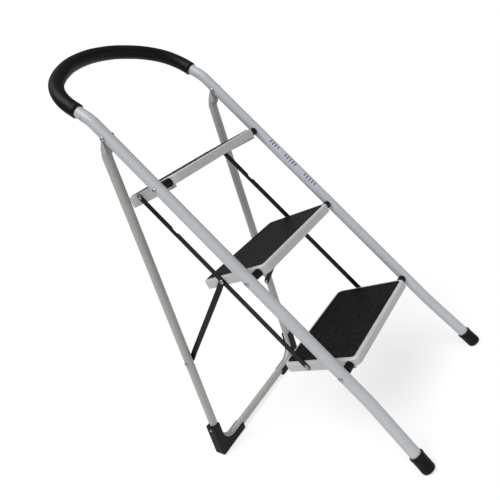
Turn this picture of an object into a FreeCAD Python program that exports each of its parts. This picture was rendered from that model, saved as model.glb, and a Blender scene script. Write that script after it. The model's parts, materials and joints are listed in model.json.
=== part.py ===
import FreeCAD, Part
import math
import os

os.makedirs("parts", exist_ok=True)

# Folding three-tread step stool, millimetres, +Z up.
# X runs across the stool, -Y is the climbing side, +Y the side of the support legs.
# The stool is modelled open. Distances "along the leg" start at the lowest step pivot.

# ---- driving dimensions -------------------------------------------------------------
# front frame
FRONT_TUBE_DIAMETER = 25.0
FRONT_TUBE_WALL = 1.2
FRONT_LEAN = 21.5              # degrees from vertical, leaning towards +Y
LEG_SPACING = 371.0            # between the axes of the front legs
LOW_PIVOT_HEIGHT = 224.0       # lowest step pivot above the floor
STEP_PITCH = 258.0             # between step pivots, along the leg
HINGE_ABOVE_TOP_STEP = 148.0   # support-leg hinge above the top step pivot, along the leg
FLARE_START = 75.0             # below the lowest pivot, where the feet start to splay
FLARE_ANGLE = 4.2
FLARE_BEND_RADIUS = 260.0
# hoop handrail
HOOP_BEND_ABOVE_HINGE = 46.0
HOOP_BEND_ANGLE = 15.5
HOOP_BEND_RADIUS = 90.0
HOOP_STRAIGHT = 56.0
HOOP_CORNER_RADIUS = 115.0
HOOP_CROWN_RADIUS = 227.0
GRIP_DIAMETER = 32.0
GRIP_START = 36.0              # above the hoop bend
DRAIN_HOLE_DIAMETER = 4.0
DRAIN_HOLE_ABOVE_BEND = 18.0
# front feet
CAP_DIAMETER = 30.0
CAP_LENGTH = 40.0
CAP_EDGE_RADIUS = 6.0
CAP_FLOOR_SETBACK = 1.0        # height of the cap's end centre above the floor
TUBE_END_SETBACK = 6.0         # rubber under the end of the tube
# support frame
REAR_TUBE_DIAMETER = 22.0
REAR_TUBE_WALL = 1.2
OPEN_ANGLE = 37.2              # between front and support legs
FOLDED_ANGLE = 0.5             # left between them when the shoes meet the front feet
FOLDED_OFFSET = 24.5           # from the hinge square to a support leg's axis
NECK_ANGLE = 34.0              # between the neck at the hinge and the support leg
NECK_BEND_RADIUS = 26.0
REAR_SPLAY = 15.0              # each support leg, outwards, from hinge to cross bar
REAR_CORNER_RADIUS = 58.0
CROSS_BAR_HEIGHT = 18.0
# fork at the top of each support leg
FORK_WALL = 1.6
FORK_EYE_RADIUS = 6.5
FORK_STRAIGHT = 17.0
FORK_EDGE_RADIUS = 1.2
FORK_EDGE_FLAT = 0.2
FORK_LENGTH = 34.0
FORK_PLUG = 9.0                # solid end of the tube under the fork
# corner shoes of the support frame
SHOE_WEB = 5.5                 # outside the tube, along both arms
SHOE_FLANGE = 2.5              # before and behind the tube
SHOE_LEG_ARM = 84.0            # arms, from where the tube's axes cross
SHOE_BAR_ARM = 89.0
SHOE_LEG_COVER = 9.0           # flanges reach this far inside the leg's axis
SHOE_BAR_COVER = 5.0           # and this far above the cross bar's axis
SHOE_SCALLOP_RADIUS = 42.0     # inner curve between the arms
SHOE_CORNER_RADIUS = 10.0
SHOE_TIP_RADIUS = 3.0
SHOE_EDGE_RADIUS = 1.2
SHOE_RIVET_DIAMETER = 7.0
SHOE_RIVET_BELOW_TIP = 12.0
# steps
STEP_WIDTH = 302.0
STEP_SHEET = 1.2
STEP_NOSE = 19.0               # front face ahead of the pivot
STEP_REACH = 175.0             # rear face behind the pivot, two lower steps
TOP_STEP_REACH = 160.0
STEP_RISE = 11.0               # pan top above the pivot
STEP_DROP = 10.0               # side flange below the pivot, two lower steps
TOP_STEP_DROP = 15.0
NOSE_DROP = 6.0                # front flange below the pivot, lowest step
UPPER_NOSE_DROP = 9.0          # and on the two upper steps
STEP_CORNER_RADIUS = 16.0
STEP_EDGE_RADIUS = 4.5
MAT_THICKNESS = 1.4
MAT_MARGIN = 6.5
STIFFENER_WIDTH = 42.0
STIFFENER_HEIGHT = 9.0
# links
LINK_WIDTH = 12.5
LINK_THICKNESS = 2.5
LINK_PIVOT_BACK = 109.6        # link pivot behind the step pivot
LINK_PIVOT_UP = 1.8
LINK_END = 7.5
NOTCH_DEPTH = 3.2
NOTCH_LENGTH = 18.0
STRUT_WIDTH = 14.0
STRUT_THICKNESS = 2.5
STRUT_TAB = 30.0               # flat end of a strut before its joggle
# pins
SPACER_DIAMETER = 18.0
SPACER_GROOVE = 0.6
PIN_DIAMETER = 6.0
LINK_PIN_DIAMETER = 5.0
HEAD_DIAMETER = 11.0
INNER_HEAD_DIAMETER = 9.0
HEAD_HEIGHT = 2.6
WASHER_DIAMETER = 11.8
WASHER_THICKNESS = 1.2
# clearances
RUNNING_FIT = 0.06             # radial, between a pin and what turns on it
SEAT_FIT = 0.02                # radial, between a pin and what it is fixed in
SIDE_GAP = 0.4                 # between plates that slide past each other
FOLD_GAP = 0.6                 # between spacer and link when folded
BORE_GAP = 0.05                # grip or cap on its tube
FORK_GAP = 0.6                 # fork to front tube
STRUT_FOOT_GAP = 1.3           # strut to support leg

# ---- derived values -----------------------------------------------------------------
FRONT_R = FRONT_TUBE_DIAMETER / 2
REAR_R = REAR_TUBE_DIAMETER / 2
HALF_SPACING = LEG_SPACING / 2
HALF_STEP = STEP_WIDTH / 2
LEAN = math.radians(FRONT_LEAN)
REAR_LEAN = math.radians(OPEN_ANGLE) - LEAN
OPENING = math.radians(OPEN_ANGLE - FOLDED_ANGLE)
HINGE_ALONG = 2 * STEP_PITCH + HINGE_ABOVE_TOP_STEP
BEND_ALONG = HINGE_ALONG + HOOP_BEND_ABOVE_HINGE
HOOP_LEAN = LEAN + math.radians(HOOP_BEND_ANGLE)
SPLAY = math.radians(FLARE_ANGLE)
X_AXIS = FreeCAD.Vector(1, 0, 0)
LINK_INNER = HALF_STEP + SIDE_GAP
LINK_OUTER = LINK_INNER + LINK_THICKNESS
STRUT_INNER = LINK_OUTER + SIDE_GAP
STRUT_OUTER = STRUT_INNER + STRUT_THICKNESS
STEP_NAMES = ("bottom", "middle", "top")
SIDES = (("left", -1), ("right", 1))


def leg_point(along, x=0.0, behind=0.0):
    """A point on a front leg's axis, or that far behind it."""
    y = along * math.sin(LEAN) + behind * math.cos(LEAN)
    z = LOW_PIVOT_HEIGHT + along * math.cos(LEAN) - behind * math.sin(LEAN)
    return FreeCAD.Vector(x, y, z)


def turn(vector, angle):
    """The vector turned about +X by an angle in radians."""
    c, s = math.cos(angle), math.sin(angle)
    return FreeCAD.Vector(vector.x, c * vector.y - s * vector.z, s * vector.y + c * vector.z)


LEG_UP = leg_point(1) - leg_point(0)
HOOP_UP = FreeCAD.Vector(0, math.sin(HOOP_LEAN), math.cos(HOOP_LEAN))
REAR_DOWN = FreeCAD.Vector(0, math.sin(REAR_LEAN), -math.cos(REAR_LEAN))
REAR_BACK = FreeCAD.Vector(0, math.cos(REAR_LEAN), math.sin(REAR_LEAN))
NECK_DOWN = turn(REAR_DOWN, math.radians(NECK_ANGLE))
HINGE = leg_point(HINGE_ALONG)
NECK_LENGTH = FOLDED_OFFSET / math.sin(math.radians(NECK_ANGLE))
REAR_TOP = HINGE + REAR_BACK * FOLDED_OFFSET
REAR_RUN = (REAR_TOP.z - CROSS_BAR_HEIGHT) / math.cos(REAR_LEAN)

# The steps fold until the links rest beside the spacers. A strut's lower pivot lies where
# the strut has the same length open and folded.
LINK_ARM = math.hypot(LINK_PIVOT_BACK, LINK_PIVOT_UP)
FOLD_SHY = math.asin((SPACER_DIAMETER / 2 + LINK_WIDTH / 2 + FOLD_GAP) / LINK_ARM)
STEP_FOLD = math.pi / 2 - LEAN - FOLD_SHY - math.atan2(LINK_PIVOT_UP, LINK_PIVOT_BACK)
LINK_ARM_VECTOR = FreeCAD.Vector(0, LINK_PIVOT_BACK, LINK_PIVOT_UP)


def link_pivot(step, x=0.0):
    """A step's link pivot, the step being 0, 1 or 2 from the bottom."""
    return leg_point(step * STEP_PITCH, x) + LINK_ARM_VECTOR


def strut_run():
    """Distance of the strut pivot down the support leg."""
    open_gap = REAR_TOP - link_pivot(1)
    folded_back = turn(REAR_BACK, -OPENING)
    folded_down = turn(REAR_DOWN, -OPENING)
    folded_pivot = leg_point(STEP_PITCH) + turn(LINK_ARM_VECTOR, STEP_FOLD)
    folded_gap = HINGE + folded_back * FOLDED_OFFSET - folded_pivot
    spread = open_gap.Length ** 2 - folded_gap.Length ** 2
    return spread / (2 * (folded_gap.dot(folded_down) - open_gap.dot(REAR_DOWN)))


STRUT_RUN = strut_run()


def rear_point(run, side):
    """A point on a support leg's axis, at a distance down from the hinge's level."""
    x = side * (HALF_SPACING + REAR_SPLAY * run / REAR_RUN)
    return REAR_TOP + REAR_DOWN * run + X_AXIS * x


STRUT_FOOT = rear_point(STRUT_RUN, 0)
STRUT_FOOT_X = rear_point(STRUT_RUN, 1).x


# ---- helpers ------------------------------------------------------------------------
def rounded_path(points, radii):
    """Edges of a line through the points, with tangent arcs at the inner points."""
    edges = []
    start = points[0]
    for before, corner, after, radius in zip(points, points[1:], points[2:], radii):
        into = (corner - before).normalize()
        out = (after - corner).normalize()
        half = into.getAngle(out) / 2
        tangent = radius * math.tan(half)
        first = corner - into * tangent
        last = corner + out * tangent
        inward = (out - into).normalize()
        middle = corner + inward * (radius / math.cos(half) - radius)
        edges.append(Part.LineSegment(start, first).toShape())
        edges.append(Part.Arc(first, middle, last).toShape())
        start = last
    edges.append(Part.LineSegment(start, points[-1]).toShape())
    return edges


def pipe(edges, radius):
    """A solid round bar along the edges."""
    wire = Part.Wire(edges)
    start = wire.OrderedVertexes[0].Point
    first = wire.OrderedEdges[0]
    heading = first.tangentAt(first.FirstParameter)
    if first.valueAt(first.FirstParameter).distanceToPoint(start) > 1e-6:
        heading = first.tangentAt(first.LastParameter) * -1
    profile = Part.Wire(Part.Circle(start, heading, radius).toShape())
    return wire.makePipeShell([profile], True, False)


def bar_x(centre, radius, x_from, x_to):
    """A cylinder along X through the centre."""
    base = FreeCAD.Vector(min(x_from, x_to), centre.y, centre.z)
    return Part.makeCylinder(radius, abs(x_to - x_from), base, X_AXIS)


def rivet_x(centre, x_inner, x_outer, diameter, side, inner_head=True, outer_head=True):
    """A turned rivet along X, with a domed head at either end or a flat one."""
    def point(x, radius):
        return FreeCAD.Vector(side * x, centre.y + radius, centre.z)

    def end(x, way, head):
        """Edges from the shank's surface at x out over the end to the axis."""
        shank = point(x, diameter / 2)
        if not head:
            return [Part.LineSegment(shank, point(x, 0)).toShape()]
        rim = (HEAD_DIAMETER if way > 0 else INNER_HEAD_DIAMETER) / 2
        dome = (rim ** 2 + HEAD_HEIGHT ** 2) / (2 * HEAD_HEIGHT)
        half = math.asin(rim / dome) / 2
        middle_x = x + way * (HEAD_HEIGHT - dome + dome * math.cos(half))
        arc = Part.Arc(point(x, rim), point(middle_x, dome * math.sin(half)), point(x + way * HEAD_HEIGHT, 0))
        return [Part.LineSegment(shank, point(x, rim)).toShape(), arc.toShape()]

    inner, outer = abs(x_inner), abs(x_outer)
    edges = end(inner, -1, inner_head) + end(outer, 1, outer_head)
    edges.append(Part.LineSegment(point(inner, diameter / 2), point(outer, diameter / 2)).toShape())
    first = point(inner - (HEAD_HEIGHT if inner_head else 0), 0)
    last = point(outer + (HEAD_HEIGHT if outer_head else 0), 0)
    edges.append(Part.LineSegment(first, last).toShape())
    face = Part.Face(Part.Wire(Part.__sortEdges__(edges)))
    turned = face.revolve(first, X_AXIS, 360)
    solid = Part.Solid(turned.Shells[0])
    return solid if solid.Volume > 0 else solid.reversed()


def plate_x(outline, x_from, x_to):
    """A flat plate between two X planes with an outline of edges at X = 0."""
    face = Part.Face(Part.Wire(outline))
    face.translate(FreeCAD.Vector(min(x_from, x_to), 0, 0))
    return face.extrude(X_AXIS * abs(x_to - x_from))


def stadium(start, end, radius, overrun=0.0):
    """Edges round two points in the YZ plane, the ends rounded."""
    way = (end - start).normalize()
    across = turn(way, math.pi / 2)
    first = start - way * overrun
    last = end + way * overrun
    first_left, first_right = first + across * radius, first - across * radius
    last_left, last_right = last + across * radius, last - across * radius
    return [
        Part.LineSegment(first_left, last_left).toShape(),
        Part.Arc(last_left, last + way * radius, last_right).toShape(),
        Part.LineSegment(last_right, first_right).toShape(),
        Part.Arc(first_right, first - way * radius, first_left).toShape(),
    ]


def rounded_box(x, y_from, y_to, z_from, z_to, radius):
    """A block of half width x with rounded upright edges."""
    corner = FreeCAD.Vector(-x, y_from, z_from)
    block = Part.makeBox(2 * x, y_to - y_from, z_to - z_from, corner)
    upright = [edge for edge in block.Edges if abs(edge.tangentAt(0).z) > 0.9]
    return block.makeFillet(radius, upright)


def below_floor():
    """The space under the floor, for cutting feet flat."""
    size = 4 * HINGE_ALONG
    return Part.makeBox(size, size, size, FreeCAD.Vector(-size / 2, -size / 2, -size))


# ---- front frame --------------------------------------------------------------------
def foot_point(height, side):
    """The point of a splayed foot's axis at a height above the floor."""
    bend = leg_point(-FLARE_START, side * HALF_SPACING)
    way = LEG_UP * -math.cos(SPLAY) + X_AXIS * (side * math.sin(SPLAY))
    return bend + way * ((height - bend.z) / way.z)


def hoop_point(x, height):
    """A point in the hoop's plane, at a height above its bend."""
    return leg_point(BEND_ALONG, x) + HOOP_UP * height


def crown_edges():
    """The rounded top of the hoop, from its right side to its left."""
    corner_x = HALF_SPACING - HOOP_CORNER_RADIUS
    reach = HOOP_CROWN_RADIUS - HOOP_CORNER_RADIUS
    sink = math.sqrt(reach ** 2 - corner_x ** 2)
    share = math.atan2(sink, corner_x)
    join_x = corner_x + HOOP_CORNER_RADIUS * math.cos(share)
    join_height = HOOP_STRAIGHT + HOOP_CORNER_RADIUS * math.sin(share)
    mid_x = corner_x + HOOP_CORNER_RADIUS * math.cos(share / 2)
    mid_height = HOOP_STRAIGHT + HOOP_CORNER_RADIUS * math.sin(share / 2)
    top = hoop_point(0, HOOP_STRAIGHT + HOOP_CROWN_RADIUS - sink)

    def corner(side):
        low = hoop_point(side * HALF_SPACING, HOOP_STRAIGHT)
        middle = hoop_point(side * mid_x, mid_height)
        return Part.Arc(low, middle, hoop_point(side * join_x, join_height)).toShape()

    crown = Part.Arc(hoop_point(join_x, join_height), top, hoop_point(-join_x, join_height)).toShape()
    return [corner(1), crown, corner(-1)]


def front_side(side):
    """Path of one front leg, from its foot up to the hoop's curve."""
    points = [
        foot_point(CAP_FLOOR_SETBACK + TUBE_END_SETBACK, side),
        leg_point(-FLARE_START, side * HALF_SPACING),
        leg_point(BEND_ALONG, side * HALF_SPACING),
        hoop_point(side * HALF_SPACING, HOOP_STRAIGHT),
    ]
    return rounded_path(points, [FLARE_BEND_RADIUS, HOOP_BEND_RADIUS])


def front_tube():
    edges = front_side(1) + crown_edges() + front_side(-1)
    tube = pipe(Part.__sortEdges__(edges), FRONT_R)
    bore = pipe(Part.__sortEdges__(edges), FRONT_R - FRONT_TUBE_WALL)
    holes = []
    for name, side in SIDES:
        inner, outer = side * (HALF_SPACING - 2 * FRONT_R), side * (HALF_SPACING + 2 * FRONT_R)
        for along in (0, STEP_PITCH, 2 * STEP_PITCH, HINGE_ALONG):
            holes.append(bar_x(leg_point(along), PIN_DIAMETER / 2 + SEAT_FIT, inner, outer))
        drain = hoop_point(0, DRAIN_HOLE_ABOVE_BEND)
        holes.append(bar_x(drain, DRAIN_HOLE_DIAMETER / 2, side * HALF_SPACING, outer))
    return tube.cut([bore] + holes)


def foam_grip():
    ends = [hoop_point(side * HALF_SPACING, GRIP_START) for side in (1, -1)]
    edges = [Part.LineSegment(ends[0], hoop_point(HALF_SPACING, HOOP_STRAIGHT)).toShape()]
    edges += crown_edges()
    edges.append(Part.LineSegment(hoop_point(-HALF_SPACING, HOOP_STRAIGHT), ends[1]).toShape())
    path = Part.__sortEdges__(edges)
    return pipe(path, GRIP_DIAMETER / 2).cut(pipe(path, FRONT_R + BORE_GAP))


def foot_cap(side):
    """A rubber cap round the end of a front leg, flat where it meets the floor."""
    end = foot_point(CAP_FLOOR_SETBACK, side)
    tube_end = foot_point(CAP_FLOOR_SETBACK + TUBE_END_SETBACK, side)
    way = (tube_end - end).normalize()
    cap = Part.makeCylinder(CAP_DIAMETER / 2, CAP_LENGTH, end, way)
    rims = [edge for edge in cap.Edges if edge.Closed]
    low_rim = min(rims, key=lambda edge: edge.CenterOfMass.z)
    cap = cap.makeFillet(CAP_EDGE_RADIUS, [low_rim])
    socket = Part.makeCylinder(FRONT_R + BORE_GAP, 2 * CAP_LENGTH, tube_end, way)
    return cap.cut([socket, below_floor()])


def spacer(step, side):
    """A grooved sleeve between a front leg and a step."""
    centre = leg_point(step * STEP_PITCH)
    inner, outer = HALF_STEP + SIDE_GAP, HALF_SPACING - FRONT_R
    body = bar_x(centre, SPACER_DIAMETER / 2, side * inner, side * outer)
    cuts = [bar_x(centre, PIN_DIAMETER / 2 + SEAT_FIT, side * inner, side * outer)]
    length = outer - inner
    for share in (0.3, 0.5, 0.7):
        x = inner + share * length
        ring = bar_x(centre, SPACER_DIAMETER, side * x, side * (x + length / 12))
        core = bar_x(centre, SPACER_DIAMETER / 2 - SPACER_GROOVE, side * x, side * (x + length / 12))
        cuts.append(ring.cut(core))
    return body.cut(cuts)


def step_rivets():
    """One rivet through each front leg, spacer and step flange."""
    inner = HALF_STEP - STEP_SHEET - SIDE_GAP - WASHER_THICKNESS
    outer = HALF_SPACING + FRONT_R
    rivets = []
    for step in range(3):
        for name, side in SIDES:
            centre = leg_point(step * STEP_PITCH)
            rivets.append(rivet_x(centre, side * inner, side * outer, PIN_DIAMETER, side))
    return Part.Compound(rivets)


def pivot_washers():
    """Washers under the inner heads of the step rivets."""
    outer = HALF_STEP - STEP_SHEET - SIDE_GAP
    washers = []
    for step in range(3):
        for name, side in SIDES:
            centre = leg_point(step * STEP_PITCH)
            ends = side * (outer - WASHER_THICKNESS), side * outer
            disc = bar_x(centre, WASHER_DIAMETER / 2, *ends)
            washers.append(disc.cut(bar_x(centre, PIN_DIAMETER / 2 + SEAT_FIT, *ends)))
    return Part.Compound(washers)


def hinge_rivet(side):
    """The rivet on which a support leg's fork turns."""
    reach = FRONT_R + FORK_GAP + FORK_WALL + SIDE_GAP
    inner, outer = side * (HALF_SPACING - reach), side * (HALF_SPACING + reach)
    return rivet_x(HINGE, inner, outer, PIN_DIAMETER, side)


# ---- support frame ------------------------------------------------------------------
def fork_slot(side):
    """The room that a front leg needs between a fork's ears, from open to folded."""
    half = FRONT_R + FORK_GAP
    low = Part.makeCylinder(half, 2 * half, HINGE - X_AXIS * half, X_AXIS)
    slot = [low]
    for angle, way in ((OPENING, -1), (0.0, 1)):
        run = turn(LEG_UP, angle) * (way * HINGE_ABOVE_TOP_STEP / 2)
        back = turn(LEG_UP, angle - math.pi / 2)
        corners = [HINGE + back * half, HINGE + back * half + run]
        corners += [HINGE - back * half * 3 + run, HINGE - back * half * 3]
        outline = [Part.LineSegment(a, b).toShape() for a, b in zip(corners, corners[1:] + corners[:1])]
        slot.append(plate_x(outline, -half, half))
    for piece in slot:
        piece.translate(X_AXIS * (side * HALF_SPACING))
    return slot


def rear_path(side):
    """Path of one support leg, from its neck down into the cross bar."""
    hinge = HINGE + X_AXIS * (side * HALF_SPACING)
    points = [
        hinge + NECK_DOWN * FORK_LENGTH,
        hinge + NECK_DOWN * NECK_LENGTH,
        rear_point(REAR_RUN, side),
        FreeCAD.Vector(0, rear_point(REAR_RUN, 0).y, CROSS_BAR_HEIGHT),
    ]
    return rounded_path(points, [NECK_BEND_RADIUS, REAR_CORNER_RADIUS])


def rear_tube():
    path = Part.__sortEdges__(rear_path(1) + rear_path(-1))
    tube = pipe(path, REAR_R)
    ends = []
    for name, side in SIDES:
        end = HINGE + X_AXIS * (side * HALF_SPACING) + NECK_DOWN * FORK_LENGTH
        ends.append(Part.makeCylinder(REAR_R, FORK_PLUG, end, NECK_DOWN))
    cuts = [pipe(path, REAR_R - REAR_TUBE_WALL).cut(ends)]
    for name, side in SIDES:
        cuts += fork_slot(side)
        ends = side * (STRUT_FOOT_X - 2 * REAR_R), side * (STRUT_FOOT_X + 2 * REAR_R)
        cuts.append(bar_x(STRUT_FOOT, PIN_DIAMETER / 2 + SEAT_FIT, *ends))
    return tube.cut(cuts)


def hinge_fork(side):
    """The widened, slotted neck of a support leg, with an eye each side of the front leg."""
    centre = HINGE + X_AXIS * (side * HALF_SPACING)
    half = FRONT_R + FORK_GAP + FORK_WALL
    across = turn(NECK_DOWN, math.pi / 2)

    def section(run, half_x, half_v, rounding):
        """A rounded rectangle square to the neck."""
        middle = centre + NECK_DOWN * run
        corners = []
        for sx, sv in ((1, 1), (-1, 1), (-1, -1), (1, -1)):
            corners.append(middle + X_AXIS * (sx * half_x) + across * (sv * half_v))
        start = (corners[3] + corners[0]) * 0.5
        points = [start] + corners + [start]
        return Part.Wire(rounded_path(points, [rounding] * 4))

    ears = Part.makeCylinder(FORK_EYE_RADIUS, 2 * half, centre - X_AXIS * half, X_AXIS)
    wedge = Part.makeLoft([
        section(0, half, FORK_EYE_RADIUS, FORK_EDGE_RADIUS),
        section(FORK_STRAIGHT, half, REAR_R, FORK_EDGE_RADIUS),
    ], True, True)
    neck = Part.makeLoft([
        section(FORK_STRAIGHT, half, REAR_R, FORK_EDGE_RADIUS),
        section(FORK_LENGTH, REAR_R, REAR_R, REAR_R - FORK_EDGE_FLAT),
    ], True, True)
    fork = ears.fuse([wedge, neck])
    cuts = fork_slot(side)
    cuts.append(bar_x(HINGE, PIN_DIAMETER / 2 + RUNNING_FIT, centre.x - 2 * half, centre.x + 2 * half))
    return fork.cut(cuts)


def shoe_frame(side):
    """The crossing of the tube's axes at a corner and the ways up the leg, along the bar and out."""
    corner = rear_point(REAR_RUN, side)
    leg_way = (rear_point(0, side) - corner).normalize()
    leg_out = leg_way.cross(REAR_BACK)
    if leg_out.x * side < 0:
        leg_out = leg_out * -1
    return corner, leg_way, X_AXIS * -side, leg_out


def shoe_block(side):
    """The outside of a corner shoe, with a scallop between its arms."""
    corner, leg_way, bar_way, leg_out = shoe_frame(side)
    outer = REAR_R + SHOE_WEB
    half = REAR_R + SHOE_FLANGE
    places = (
        (SHOE_LEG_ARM, -outer),
        (-outer, -outer),
        (-outer, SHOE_BAR_ARM),
        (SHOE_BAR_COVER, SHOE_BAR_ARM),
        (SHOE_BAR_COVER, SHOE_LEG_COVER),
        (SHOE_LEG_ARM, SHOE_LEG_COVER),
    )
    corners = [corner + leg_way * up + bar_way * along - REAR_BACK * half for up, along in places]
    start = (corners[-1] + corners[0]) * 0.5
    radii = [SHOE_TIP_RADIUS] * len(corners)
    radii[1] = SHOE_CORNER_RADIUS
    radii[4] = SHOE_SCALLOP_RADIUS
    outline = Part.Wire(rounded_path([start] + corners + [start], radii))
    block = Part.Face(outline).extrude(REAR_BACK * (2 * half))
    level = corner.dot(REAR_BACK)
    rims = [edge for edge in block.Edges if abs(abs(edge.CenterOfMass.dot(REAR_BACK) - level) - half) < 1e-4]
    return block.makeFillet(SHOE_EDGE_RADIUS, rims)


def shoe_slot(side):
    """The channel inside the tube's line that leaves the shoe's flanges free."""
    corner, leg_way, bar_way, leg_out = shoe_frame(side)
    reach = 2 * SHOE_BAR_ARM
    points = [corner + leg_way * reach, corner, corner + bar_way * (SHOE_BAR_ARM + SHOE_WEB)]
    inward = -leg_out
    profile = []
    for depth, width in ((0.0, 1), (2 * REAR_R, 1), (2 * REAR_R, -1), (0.0, -1)):
        profile.append(points[0] + inward * depth + REAR_BACK * (width * REAR_R))
    outline = [Part.LineSegment(a, b).toShape() for a, b in zip(profile, profile[1:] + profile[:1])]
    path = Part.Wire(rounded_path(points, [REAR_CORNER_RADIUS]))
    return path.makePipeShell([Part.Wire(outline)], True, False)


def rear_shoe(side):
    """A channel-shaped plastic shoe round a lower corner of the support frame."""
    bar = pipe(Part.__sortEdges__(rear_path(side)), REAR_R + SEAT_FIT)
    return shoe_block(side).cut([shoe_slot(side), bar, below_floor()])


def shoe_rivet(side):
    """A small rivet that holds a shoe to the outside of the leg."""
    corner, leg_way, bar_way, leg_out = shoe_frame(side)
    spot = corner + leg_way * (SHOE_LEG_ARM - SHOE_RIVET_BELOW_TIP) + leg_out * (REAR_R + SHOE_WEB)
    head = Part.makeCylinder(SHOE_RIVET_DIAMETER / 2, HEAD_HEIGHT / 2, spot, leg_out)
    return head.makeFillet(HEAD_HEIGHT / 4, [max(head.Edges, key=lambda e: e.CenterOfMass.dot(leg_out))])


def strut_rivets():
    """Rivets through the support legs at the struts' lower ends."""
    rivets = []
    for name, side in SIDES:
        inner, outer = side * (STRUT_FOOT_X - REAR_R), side * (STRUT_FOOT_X + REAR_R)
        rivets.append(rivet_x(STRUT_FOOT, inner, outer, PIN_DIAMETER, side, inner_head=False))
    return Part.Compound(rivets)


# ---- steps --------------------------------------------------------------------------
def step_reach(step):
    return TOP_STEP_REACH if step == 2 else STEP_REACH


def step_drop(step):
    return TOP_STEP_DROP if step == 2 else STEP_DROP


def nose_drop(step):
    return NOSE_DROP if step == 0 else UPPER_NOSE_DROP


def pan_block(step, inset):
    """The outside of a step pan, or its inside when inset by the sheet."""
    pivot = leg_point(step * STEP_PITCH)
    y_from, y_to = pivot.y - STEP_NOSE + inset, pivot.y + step_reach(step) - inset
    z_to = pivot.z + STEP_RISE - inset
    z_from = pivot.z - step_drop(step) - (1.0 if inset else 0.0)
    block = rounded_box(HALF_STEP - inset, y_from, y_to, z_from, z_to, STEP_CORNER_RADIUS - inset)
    rim = [edge for edge in block.Edges if abs(edge.CenterOfMass.z - z_to) < 1e-6]
    return block.makeFillet(STEP_EDGE_RADIUS - inset, rim)


def step_pan(step):
    """A pressed tread with flanges all round and a shorter front flange."""
    pivot = leg_point(step * STEP_PITCH)
    nose = FreeCAD.Vector(-HALF_STEP, pivot.y - STEP_NOSE, pivot.z - nose_drop(step) - step_drop(step))
    cuts = [pan_block(step, STEP_SHEET)]
    cuts.append(Part.makeBox(STEP_WIDTH, STEP_NOSE / 2, step_drop(step), nose))
    cuts.append(bar_x(pivot, PIN_DIAMETER / 2 + RUNNING_FIT, -STEP_WIDTH, STEP_WIDTH))
    cuts.append(bar_x(link_pivot(step), LINK_PIN_DIAMETER / 2 + SEAT_FIT, -STEP_WIDTH, STEP_WIDTH))
    return pan_block(step, 0.0).cut(cuts)


def step_mat(step):
    """The anti-slip mat on a tread."""
    pivot = leg_point(step * STEP_PITCH)
    inset = MAT_MARGIN
    z_from = pivot.z + STEP_RISE
    return rounded_box(HALF_STEP - inset, pivot.y - STEP_NOSE + inset, pivot.y + step_reach(step) - inset,
                       z_from, z_from + MAT_THICKNESS, STEP_CORNER_RADIUS - inset / 2)


def step_stiffener(step):
    """A hat channel welded under a tread."""
    pivot = leg_point(step * STEP_PITCH)
    middle = pivot.y + (step_reach(step) - STEP_NOSE) / 2
    top = pivot.z + STEP_RISE - STEP_SHEET
    half = HALF_STEP - STEP_EDGE_RADIUS
    outer = Part.makeBox(2 * half, STIFFENER_WIDTH, STIFFENER_HEIGHT,
                         FreeCAD.Vector(-half, middle - STIFFENER_WIDTH / 2, top - STIFFENER_HEIGHT))
    inner = Part.makeBox(2 * half, STIFFENER_WIDTH - 2 * STEP_SHEET, STIFFENER_HEIGHT,
                         FreeCAD.Vector(-half, middle - STIFFENER_WIDTH / 2 + STEP_SHEET,
                                        top - STIFFENER_HEIGHT + STEP_SHEET))
    return outer.cut(inner)


def link_rivets(step):
    """Rivets that join a step's flanges to the links, and to the struts at the middle step."""
    inner = HALF_STEP - STEP_SHEET
    outer = (STRUT_OUTER if step == 1 else LINK_OUTER) + SIDE_GAP
    rivets = []
    for name, side in SIDES:
        rivets.append(rivet_x(link_pivot(step), side * inner, side * outer, LINK_PIN_DIAMETER, side))
    return Part.Compound(rivets)


# ---- links and struts ---------------------------------------------------------------
def link_bar(side):
    """A flat bar joining the three steps, relieved where it folds over the top spacer."""
    low, high = link_pivot(0), link_pivot(2)
    ends = side * LINK_INNER, side * LINK_OUTER
    bar = plate_x(stadium(low, high, LINK_WIDTH / 2, LINK_END - LINK_WIDTH / 2), *ends)
    cuts = [bar_x(link_pivot(step), LINK_PIN_DIAMETER / 2 + RUNNING_FIT, *ends) for step in range(3)]
    forward = turn(LEG_UP, math.pi / 2)
    if forward.y > 0:
        forward = forward * -1
    notch = high - LEG_UP * (LINK_ARM * math.cos(FOLD_SHY)) + forward * (LINK_WIDTH / 2)
    half, slope = NOTCH_LENGTH / 2, NOTCH_DEPTH
    corners = [
        notch - LEG_UP * (half + slope) + forward,
        notch - LEG_UP * (half - slope) - forward * NOTCH_DEPTH,
        notch + LEG_UP * (half - slope) - forward * NOTCH_DEPTH,
        notch + LEG_UP * (half + slope) + forward,
    ]
    outline = [Part.LineSegment(a, b).toShape() for a, b in zip(corners, corners[1:] + corners[:1])]
    cuts.append(plate_x(outline, *ends))
    return bar.cut(cuts)


STRUT_FOOT_OUTER = STRUT_FOOT_X - REAR_R - STRUT_FOOT_GAP
STRUT_FOOT_INNER = STRUT_FOOT_OUTER - STRUT_THICKNESS


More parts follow.
